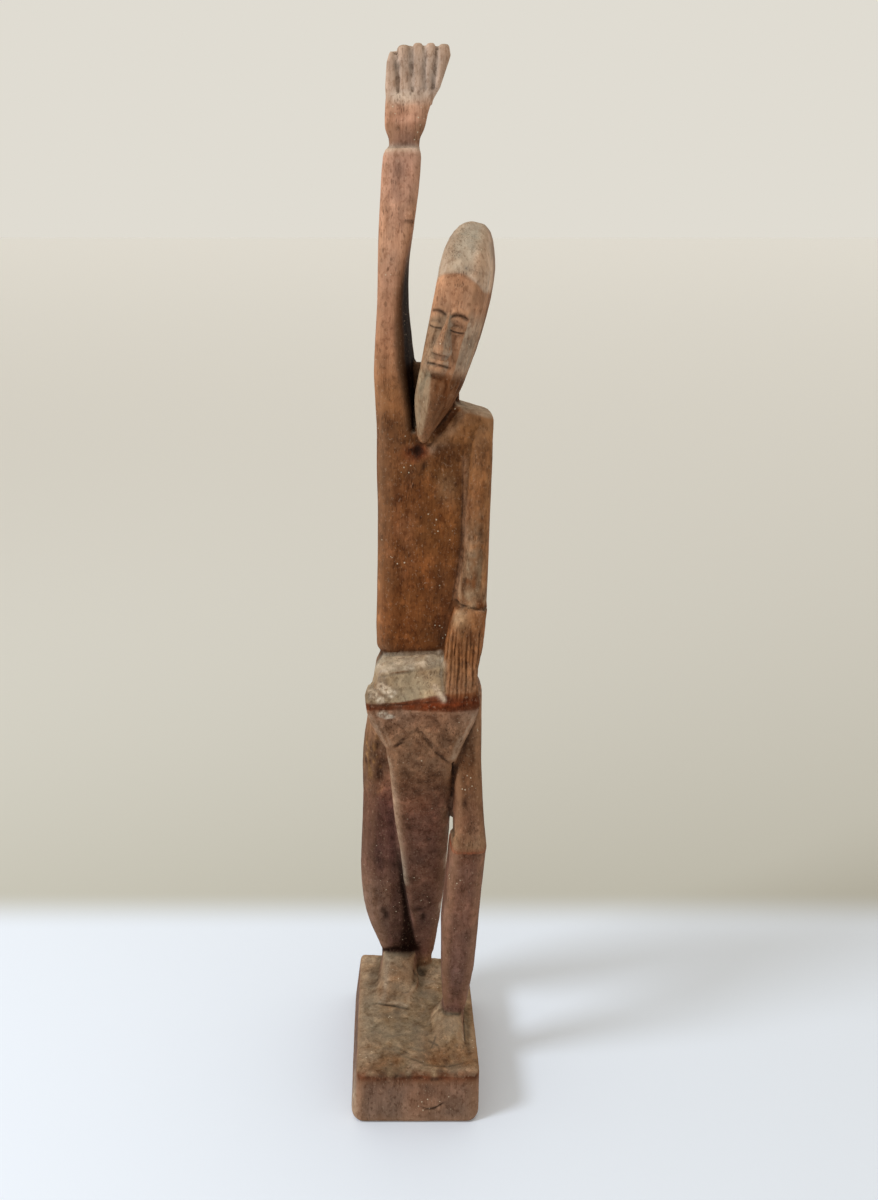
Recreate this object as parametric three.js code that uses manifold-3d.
import * as THREE from 'three';
import { mergeVertices } from 'three/addons/utils/BufferGeometryUtils.js';
import Module from 'manifold-3d';

// A standing bearded man with one arm raised, carved with his base from a single block of wood.
// Millimetres. The origin is the middle of the underside. The figure faces -Y, +Z is up, and +X is
// the side of his lowered arm.

// Driving sizes
const baseWidth = 58;
const baseDepth = 94;
const baseHeight = 26;
const baseLean = 1.2; // the block leans to +X by this much between its foot and its top
const kneeHeight = 132.5;
const skirtHeight = 171; // where the skirt's point meets the leg
const beltHeight = 205; // the front edge of the thick belt
const waistHeight = 225;
const shoulderHeight = 330; // the end of the shoulder
const beardHeight = 319; // the tip of the beard
const elbowHeight = 346; // the bend of the raised arm
const cuffHeight = 433;
const handLength = 38; // the raised hand, above its wrist
const headLength = 90; // from the tip of the beard to the crown
const headTilt = 12.4; // degrees, the crown towards +X
const headTurn = 12; // degrees, the face towards -X
const sunk = 2; // how far one form is let into the next, so that they join

const wasm = await Module();
wasm.setup();

function solidOf(geometry) {
  const bare = geometry.clone();
  bare.deleteAttribute('normal');
  bare.deleteAttribute('uv');
  const shared = mergeVertices(bare, 1e-4);
  return new wasm.Manifold(new wasm.Mesh({
    numProp: 3,
    vertProperties: shared.attributes.position.array,
    triVerts: shared.index.array,
  }));
}

// Turns a round blank into a carved form. Each level is [height, left, right, front, back]: the
// height, the two edges across the figure and the two edges through it. A sixth number draws the
// right front corner in by so much. A section of square 2 is oval, a higher one is nearer a plank
// with eased edges, and 1 is a lozenge.
function carve(levels, { square = 4, sides = 16, steps = 2 } = {}) {
  const places = Float32Array.from(levels, (level, i) => i);
  const curve = new THREE.CubicInterpolant(places, Float32Array.from(levels.flat()), levels[0].length);
  const rings = (levels.length - 1) * steps;
  const blank = new THREE.CylinderGeometry(1, 1, 1, sides, rings).rotateX(Math.PI / 2);
  const nearNothing = 1e-6;
  const ease = (value) => {
    const size = Math.abs(value);
    return size < nearNothing ? 0 : Math.sign(value) * size ** (2 / square);
  };
  const points = blank.attributes.position;
  for (let i = 0; i < points.count; i += 1) {
    const ring = Math.round((points.getZ(i) + 0.5) * rings);
    const [height, left, right, front, back, drawnIn = 0] = curve.evaluate(ring / steps);
    const across = (1 + ease(points.getX(i))) / 2;
    const through = (1 + ease(points.getY(i))) / 2;
    points.setXYZ(
      i,
      THREE.MathUtils.lerp(left, right - drawnIn * (1 - through), across),
      THREE.MathUtils.lerp(front, back, through),
      height,
    );
  }
  return blank;
}

// The chip that a V tool takes out between two points of a surface that faces the way given.
function chip(from, to, width, depth, facing = [0, -1, 0]) {
  const start = new THREE.Vector3(...from);
  const end = new THREE.Vector3(...to);
  const along = end.clone().sub(start);
  const length = along.length();
  along.normalize();
  const side = along.clone().cross(new THREE.Vector3(...facing)).normalize();
  const out = side.clone().cross(along);
  const blank = new THREE.CylinderGeometry(1, 1, 1, 4, 1);
  blank.scale(width / 2, length, depth);
  blank.applyMatrix4(new THREE.Matrix4().makeBasis(side, along, out));
  const middle = start.add(end).multiplyScalar(0.5);
  return blank.translate(middle.x, middle.y, middle.z);
}

let figure = null;
function add(geometry) {
  const form = solidOf(geometry);
  figure = figure ? figure.add(form) : form;
}
function cut(geometry) {
  figure = figure.subtract(solidOf(geometry));
}

// Base: a block with eased corners, a little wider at its foot. Its back is sawn out of square.
const baseEdge = 1.2;
const baseFlare = 1.6;
const halfBase = baseWidth / 2;
const halfDepth = baseDepth / 2;
const roughBack = halfDepth + 4;
const outOfSquare = 5.2; // degrees
add(carve([
  [0, -halfBase - 1, halfBase + 0.4, -halfDepth - baseFlare + 0.8, roughBack],
  [baseEdge, -halfBase - baseFlare, halfBase + baseFlare, -halfDepth - baseFlare, roughBack],
  [baseHeight - baseEdge, -halfBase + baseLean, halfBase + baseFlare, -halfDepth, roughBack],
  [baseHeight, -halfBase + baseLean * 2, halfBase + baseEdge / 2, -halfDepth + baseEdge, roughBack],
], { square: 20, sides: 24, steps: 1 }));
const saw = 10;
cut(new THREE.BoxGeometry(baseWidth * 2, saw, baseHeight * 3)
  .rotateZ(THREE.MathUtils.degToRad(-outOfSquare))
  .translate(halfBase / 2, halfDepth + saw / 2 - 1, 0));

// Feet: wedges that rise from the toes to the instep. The trailing one points away to -X.
const footSink = baseHeight - sunk;
add(carve([
  [footSink, 7.5, 24.6, -37.5, 3],
  [baseHeight + 2, 8, 24.4, -36.6, 2],
  [baseHeight + 4, 9.2, 24, -30, 1],
  [baseHeight + 6, 11, 24, -22, 0],
  [baseHeight + 8.6, 13.4, 24.6, -13, -1],
], { square: 5, steps: 1 }));
const footTurn = 0.084;
add(carve([
  [footSink, -19.9, -0.6, 3, 46],
  [baseHeight + 3, -19.6, -0.8, 3.4, 46],
  [baseHeight + 4.4, -19.2, -0.8, 9, 46],
  [baseHeight + 7.6, -18.9, -0.6, 22, 46],
  [baseHeight + 11, -18.6, -0.4, 33, 46],
], { square: 9, steps: 1 }).applyMatrix4(new THREE.Matrix4().makeShear(0, 0, footTurn, 0, 0, 0)));

// Forward leg, from the hip to the ankle: the thigh comes forward to a sharp knee.
add(carve([
  [footSink, 14.8, 25, -12, 0],
  [36, 14.5, 25.8, -12.5, -1],
  [62, 13, 29.2, -17, -1],
  [88, 12.7, 30.6, -21, -2],
  [104, 14.1, 31.4, -22.8, -2.6],
  [kneeHeight - 3, 15.9, 32.8, -25, -3],
  [kneeHeight, 16.4, 33, -27, -3],
  [141, 17.4, 32, -25.2, 0],
  [154, 18, 31, -21.5, 4],
  [173, 16.8, 30.1, -17, 7],
  [beltHeight, 17, 30, -14, 10],
], { square: 4.5, steps: 1 }));

// Trailing leg: it slants back from the hip to the foot and swells at the calf.
add(carve([
  [footSink, -15, 3, 34, 45],
  [38, -16, 3, 33, 45.5],
  [56, -22, 2, 27, 46],
  [72, -25.6, 1, 23, 45],
  [95, -26.9, 0, 17, 41],
  [118, -25.8, -1, 13, 37],
  [139, -25, -2, 10, 33],
  [156, -25.2, -2, 7, 30],
  [173, -24, -2, 4, 28],
  [190, -21.5, 0, 0, 27],
], { square: 3.4 }));

// The waist slopes down to the back, less and less so above it and below it.
const waistSlope = 0.3;
const frontOfWaist = -14;
const slopeReach = 60;
function slopeAtWaist(blank) {
  const points = blank.attributes.position;
  for (let i = 0; i < points.count; i += 1) {
    const height = points.getZ(i);
    const away = Math.min(1, Math.abs(height - waistHeight) / slopeReach);
    points.setZ(i, height - waistSlope * (1 - away) * (points.getY(i) - frontOfWaist));
  }
  return blank;
}

// Hips and seat.
add(slopeAtWaist(carve([
  [140, -5, 12, 6, 14],
  [152, -14, 17, 9, 21],
  [166, -21.4, 27, 8, 27],
  [184, -22.6, 30, 4, 30],
  [196, -21.6, 30.4, -4, 30.4],
  [beltHeight, -20.6, 30.2, -14, 28],
  [213, -18.8, 28.4, -15, 24],
  [219, -16, 27, -15, 20],
  [waistHeight - 1, -14, 25.6, -13.4, 17],
], { square: 4.5 })));

// Front cloth and thick belt: the cloth falls back between the legs, narrow at the base and broad
// at the hips, up to the sharp front edge of the belt. Above the edge the belt is a ledge that
// slopes up to the waist. Both rise a little towards the lowered arm.
const beltRise = 0.05;
add(carve([
  [footSink, 2, 11, 37, 42],
  [36, 2, 11.6, 35.5, 42],
  [64, -0.7, 14.2, 24, 36],
  [94, -5, 16.2, 12, 27],
  [122, -8, 16.9, 2, 18],
  [141, -10.2, 17.3, -5.6, 13],
  [152, -11.2, 18.8, -10, 12],
  [skirtHeight - 1, -12.6, 18, -19.5, 10],
  [182, -14.4, 21.4, -23.8, 8],
  [196, -21, 26.2, -28.6, -2],
  [beltHeight - 1, -22.8, 27.6, -31.6, -12],
  [beltHeight + 4, -23.2, 27.2, -29.8, -14],
  [beltHeight + 7, -22.2, 27, -27.8, -15],
  [beltHeight + 7.6, -19.8, 26.6, -27.2, -8],
  [220, -18.4, 26.2, -22.4, 0],
  [waistHeight - 1, -15.6, 26, -15.4, 4],
], { square: 7, steps: 1 }).applyMatrix4(new THREE.Matrix4().makeShear(0, beltRise, 0, 0, 0, 0)));

// Trunk: a flat slab with eased edges.
add(slopeAtWaist(carve([
  [waistHeight - 6, -13.6, 26, -12, 15],
  [waistHeight - 1.5, -13.6, 26.4, -13, 16],
  [waistHeight + 3, -18, 28.4, -14, 17],
  [waistHeight + 25, -17.8, 30.2, -14.6, 18],
  [290, -17.4, 31, -14.6, 18.4],
  [318, -17.7, 31.4, -13.8, 17.4],
  [323, -16.4, 30.4, -12, 16],
], { square: 9 })));

// Shoulders: the slab's top falls towards the lowered arm, and a V cut frees the beard from the
// chest.
const shoulderFall = 0.29; // drop for each millimetre towards the arm
const shoulderEnd = 31.8;
add(carve([
  [shoulderHeight - 30, 2, shoulderEnd - 3, -11, 15.4],
  [shoulderHeight - 12, 1, shoulderEnd - 0.2, -13.6, 17],
  [shoulderHeight - 6, 1, shoulderEnd, -13.2, 17],
  [shoulderHeight - 2.2, 3, shoulderEnd, -12, 16],
  [shoulderHeight - 0.8, 6, shoulderEnd - 0.7, -10, 14],
], { square: 9, steps: 1 }).applyMatrix4(new THREE.Matrix4().makeShear(0, -shoulderFall, 0, 0, 0, 0))
  .translate(0, 0, shoulderFall * shoulderEnd));
cut(chip([2, -15, 318.6], [22, -13, 337], 10, 4, [0.1, -1, 0.1]));

// Raised arm: it carries on up from the trunk's edge, bends at the elbow and ends in a cuff. Its
// inner side is cut back towards the front below the bend.
add(carve([
  [298, -15, 1, -9, 13, 0],
  [310, -17, 2.4, -13.2, 15.6, 1.2],
  [317, -17.6, 3, -14, 16.4, 2.6],
  [326, -17.9, 1.8, -13, 15.6, 4.4],
  [elbowHeight, -19, 0.8, -11, 14, 7],
  [elbowHeight + 14, -18.4, -1.2, -9.8, 12, 6],
  [374, -17.5, -3, -9, 10, 5],
  [390, -17.2, -3.4, -8.6, 9.2, 3],
  [404, -16.8, -2, -8.4, 8.8, 1],
  [418, -16, -0.6, -8.2, 8.6, 0],
  [cuffHeight - 1, -15, 0.4, -8, 8.4, 0],
  [cuffHeight + 1.6, -13.6, -0.8, -7, 7.4, 0],
], { square: 5 }));

// Raised hand: a narrow wrist under a stepped palm.
const palmHeight = cuffHeight + 8.4;
const fingerRoot = palmHeight + 14;
add(carve([
  [cuffHeight - sunk, -12.4, -0.8, -5.4, 5.4],
  [cuffHeight + 6, -12.6, -0.2, -5.2, 5.2],
  [palmHeight, -14.4, 1.6, -5.6, 5.4],
  [palmHeight + 6, -14.3, 2.8, -5.4, 5.2],
  [palmHeight + 12, -14, 4.8, -5, 4.8],
  [fingerRoot + 2, -13.4, 6.2, -4, 3.6],
], { square: 5, steps: 1 }));

// Five fingers side by side, spread like a fan: where each one starts and ends across the hand, and
// how far its tip falls short of the longest.
const tipHeight = cuffHeight + 2 + handLength;
const fingerFeet = [-14, -8.8, -3.5, 0.6, 4.6, 6.4];
const fingerTips = [-13.2, -9.9, -3.9, 1.2, 6.1, 11.6];
const fingerShort = [2.8, 0.6, 0, 0, 0.3];
const fingerOverlap = 0.35;
fingerShort.forEach((short, i) => {
  const tip = tipHeight - short;
  const across = (height, inset) => [0, 1].map((side) => {
    const spread = Math.sin((height - fingerRoot) / (tip - fingerRoot) * Math.PI / 2);
    return THREE.MathUtils.lerp(fingerFeet[i + side], fingerTips[i + side], spread)
      + (side ? -inset : inset);
  });
  add(carve([
    [fingerRoot - 4, ...across(fingerRoot - 4, 0.6), -4, 4],
    [fingerRoot + 2, ...across(fingerRoot + 2, -fingerOverlap), -5, 4.6],
    [tip - 4, ...across(tip - 4, -fingerOverlap), -4.6, 4],
    [tip - 1, ...across(tip - 1, 0.5), -3.8, 3.2],
    [tip, ...across(tip, 1.2), -2.6, 2],
  ], { square: 3.2, sides: 12, steps: 1 }));
});

// Lowered arm, in relief on the trunk: a ridge down its front, and a line for the cuff.
const lowCuff = waistHeight + 23;
add(carve([
  [lowCuff - 1, 16, 30.6, -22.4, 6],
  [258, 17.3, 30.8, -22.6, 6],
  [272, 19, 31, -22, 6],
  [288, 19.4, 31.2, -21, 6],
  [304, 19.8, 31.6, -19, 6],
  [318, 20.2, 31.8, -16.6, 6],
  [shoulderHeight - 2, 21.4, 30.8, -12, 6],
], { square: 2.4 }));

// Lowered hand: flat on the belt, its fingers scored.
add(carve([
  [beltHeight + 0.6, 10.4, 26.2, -31.6, -6],
  [beltHeight + 6, 10.4, 26.6, -30.6, -6],
  [waistHeight - 4, 11, 26.8, -28.4, -4],
  [waistHeight + 5, 12, 28.8, -26.4, -4],
  [waistHeight + 16, 14.2, 29.9, -24.4, -2],
  [lowCuff - 1, 16, 30.6, -22.8, 0],
], { square: 4 }));
cut(chip([13, -24.2, lowCuff - 1], [34, -19.4, lowCuff - 2], 2, 1.6));
const scoreTops = [[13.6, 236], [16.6, 240], [20.4, 241], [23.8, 240], [27, 238]];
scoreTops.forEach(([place, height]) => {
  const slip = (place - 13.6) * 0.1 + 1;
  const top = [place, -25.2, height];
  cut(chip(top, [place - slip, -31.6, beltHeight + 3], 1.5, 1.7));
});

// Neck, and the web of wood left between it and the raised arm.
add(carve([
  [318, -3, 19, -8, 14.6],
  [332, 0.6, 18, -7, 13.4],
  [346, 3.6, 17.6, -6, 10.4],
  [356, 7, 17, -4, 5],
], { square: 3 }));
add(carve([
  [314, -6, 6, -9, 14],
  [336, -6, 5, 1, 13],
  [346, -4.6, 4.4, 3, 11],
  [350, -3.4, 3.6, 5, 9],
], { square: 3.4 }));

// Head, worked upright at the origin with its face to -Y, from the tip of the beard to the crown,
// and then turned and tilted into place. The face is laid out in thirds from hairline to chin.
const hairline = headLength * 0.76;
const chin = headLength * 0.25;
const third = (hairline - chin) / 3;
const browLine = hairline - third;
const noseBase = chin + third;
const mouthLine = noseBase - third / 3;
const faceWidth = 16.4;
const faceFront = -17.6;
const headForms = [];
const headChips = [];
headForms.push(carve([
  [10, -5, 5.4, -12.6, 0],
  [17, -7.2, 7.8, -15.4, 3],
  [26, -7.9, 9.8, faceFront, 9],
  [mouthLine + 4, -8.2, 10.8, faceFront, 13],
  [browLine - 8, -8.6, 11.4, faceFront, 15.6],
  [browLine + 3, -8.8, 11.8, -18.4, 17],
  [hairline - 4, -9.1, 11.6, -18.6, 18],
  [hairline + 5, -9.9, 10.8, -15.4, 17.6],
  [hairline + 13, -9.4, 8.4, -9.4, 15.6],
  [headLength - 2.4, -6.6, 5.6, -3, 11.6],
  [headLength, -3, 2.4, 1.6, 7],
], { square: 4 }));
// The beard comes to a ridge down its middle.
headForms.push(carve([
  [0, -1.5, 1.5, -12.6, -8],
  [8, -4.8, 4.8, -16, -4],
  [17, -7.8, 8.2, -18.8, 3],
  [chin + 3, -8.4, 10, -20, 9],
  [mouthLine - 3, -7.4, 9.6, -18, 12],
], { square: 1.8 }));
// Nose and lips stand up from the flat of the face.
headForms.push(carve([
  [noseBase - 0.6, -3.4, 3.4, -22.4, -12],
  [noseBase + 1.4, -3.6, 3.6, -22.8, -12],
  [browLine - 4, -1.5, 1.5, -19.6, -12],
  [browLine + 1, -1.2, 1.2, -18.6, -12],
], { square: 1.6, sides: 12, steps: 1 }));
headForms.push(carve([
  [mouthLine - 4.4, -3, 3, -18, -12],
  [mouthLine - 2.4, -4, 4, -19.6, -12],
  [mouthLine + 2, -4.2, 4.2, -19.8, -12],
  [mouthLine + 3.4, -3, 3, -18, -12],
], { square: 2.4, sides: 12, steps: 1 }));
headChips.push(chip([-5, -19.6, mouthLine], [5, -19.6, mouthLine], 1.4, 1.4));
// Each brow is a short arched groove of two cuts over a slit of an eye.
const browHalf = faceWidth / 2 - 0.6;
[-1, 1].forEach((side) => {
  const arch = [side * browHalf * 0.5, -18.9, browLine + 1.6];
  headChips.push(chip([side * 0.8, -18.8, browLine], arch, 1.9, 1.2));
  headChips.push(chip(arch, [side * browHalf, -17.4, browLine - 1], 1.9, 1.2));
  const eyeLine = browLine - third * 0.34;
  headChips.push(chip([side * 2.2, -18.4, eyeLine], [side * (browHalf - 0.8), -17.6, eyeLine], 1.5, 1.2));
});
const place = new THREE.Matrix4().makeTranslation(3.6, -6, beardHeight)
  .multiply(new THREE.Matrix4().makeRotationY(THREE.MathUtils.degToRad(headTilt)))
  .multiply(new THREE.Matrix4().makeRotationZ(THREE.MathUtils.degToRad(-headTurn)));
headForms.forEach((form) => add(form.applyMatrix4(place)));
headChips.forEach((slot) => cut(slot.applyMatrix4(place)));

// The skirt's hem is an upturned V over the thigh, with one more cut between the legs below it.
const hemTop = [-0.4, -27.8, beltHeight - 10.8];
const hemPoint = [17, -20.4, skirtHeight];
cut(chip(hemTop, [-10.4, -24.2, beltHeight - 21.6], 1.8, 1.6));
cut(chip(hemTop, hemPoint, 2, 1.7));
cut(chip(hemPoint, [17.4, -14, skirtHeight - 19], 1.8, 3));
// The waist is nicked all round between the trunk and the belt.
cut(chip([-20, -14.6, waistHeight + 0.6], [14, -14.6, waistHeight - 0.4], 1.6, 1.4));

// Splinters that a cut leaves loose fall away.
const pieces = figure.decompose().sort((one, other) => other.volume() - one.volume());
figure = pieces[0];

function geometryOf(solid) {
  const mesh = solid.getMesh();
  const geometry = new THREE.BufferGeometry();
  geometry.setAttribute('position', new THREE.BufferAttribute(mesh.vertProperties, mesh.numProp));
  geometry.setIndex(new THREE.BufferAttribute(mesh.triVerts, 1));
  geometry.computeVertexNormals();
  return geometry;
}

const agedWood = new THREE.MeshStandardMaterial({ color: 0x7a5644, roughness: 0.62, metalness: 0 });

const figureMesh = new THREE.Mesh(geometryOf(figure), agedWood);
figureMesh.name = 'carved_figure';

const model = new THREE.Group();
model.add(figureMesh);

export default model;
